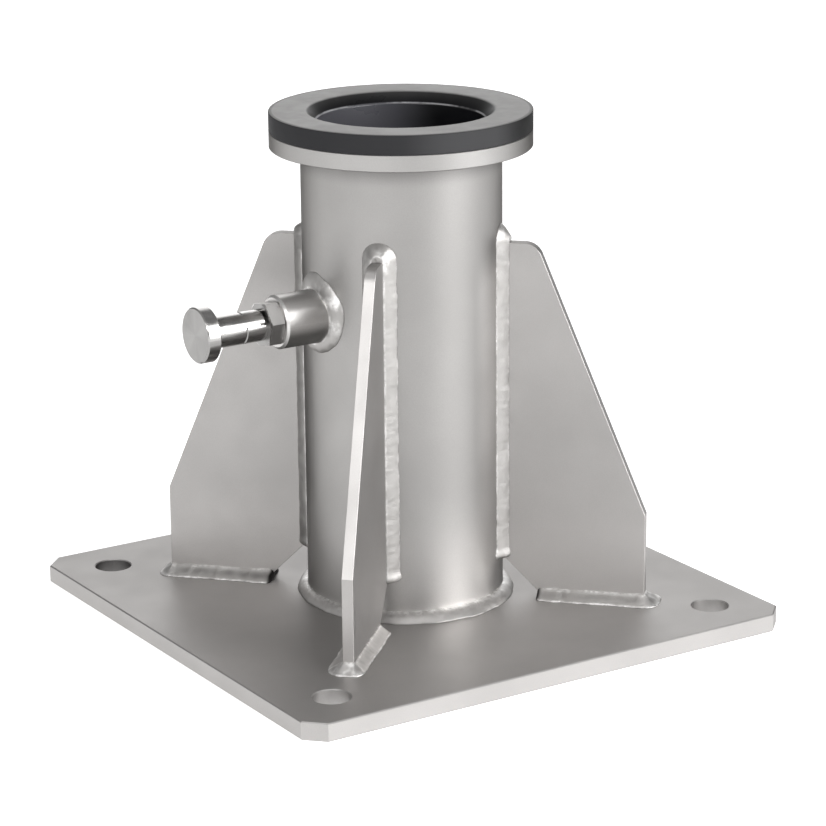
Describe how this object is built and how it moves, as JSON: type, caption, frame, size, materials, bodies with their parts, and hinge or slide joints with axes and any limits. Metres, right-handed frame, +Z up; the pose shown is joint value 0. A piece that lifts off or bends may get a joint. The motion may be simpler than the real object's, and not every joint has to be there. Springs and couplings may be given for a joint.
{
  "type": "davit base",
  "caption": "Welded steel mast socket on a square bolt-down plate, with gussets, a plastic-lined round mouth and a sprung pull plunger that locks the mast.",
  "frame": {"origin": "centre of the base plate's underside, on the mast socket's axis", "axes": "+Z up along the socket's axis, -X towards the pull plunger, X and Y along the plate's sides"},
  "size_m": [0.3, 0.3, 0.2785],
  "materials": {
    "blasted_plate": "bead-blasted stainless, satin",
    "blasted_tube": "bead-blasted stainless, satin",
    "blasted_ring": "turned and bead-blasted stainless, satin",
    "blasted_boss": "turned stainless, satin",
    "weld_bead": "rippled weld metal, cleaned",
    "turned_steel": "polished turned stainless",
    "spring_wire": "drawn wire",
    "bush_plastic": "black turned plastic, satin"
  },
  "bodies": {
    "socket": {"base_plate": "blasted_plate", "socket_tube": "blasted_tube", "top_ring": "blasted_ring", "upper_bush": "bush_plastic", "lower_bush": "bush_plastic", "gusset_front_left": "blasted_plate", "gusset_front_right": "blasted_plate", "gusset_rear_left": "blasted_plate", "gusset_rear_right": "blasted_plate", "weld_gusset_front_left": "weld_bead", "weld_gusset_front_right": "weld_bead", "weld_gusset_rear_left": "weld_bead", "weld_gusset_rear_right": "weld_bead", "weld_tube_foot": "weld_bead", "weld_top_ring": "weld_bead", "weld_boss": "weld_bead", "plunger_boss": "blasted_boss", "plunger_body": "turned_steel"},
    "plunger": {"pull_knob": "turned_steel", "plunger_pin": "turned_steel", "plunger_spring": "spring_wire"}
  },
  "joints": [
    {"name": "plunger_pull", "type": "slide", "parent": "socket", "child": "plunger", "axis": [-1, 0, 0], "range_m": [0, 0.0125], "stiffness_N_per_m": 1500, "springref_m": -0.008, "deforming": ["plunger_spring"]}
  ]
}
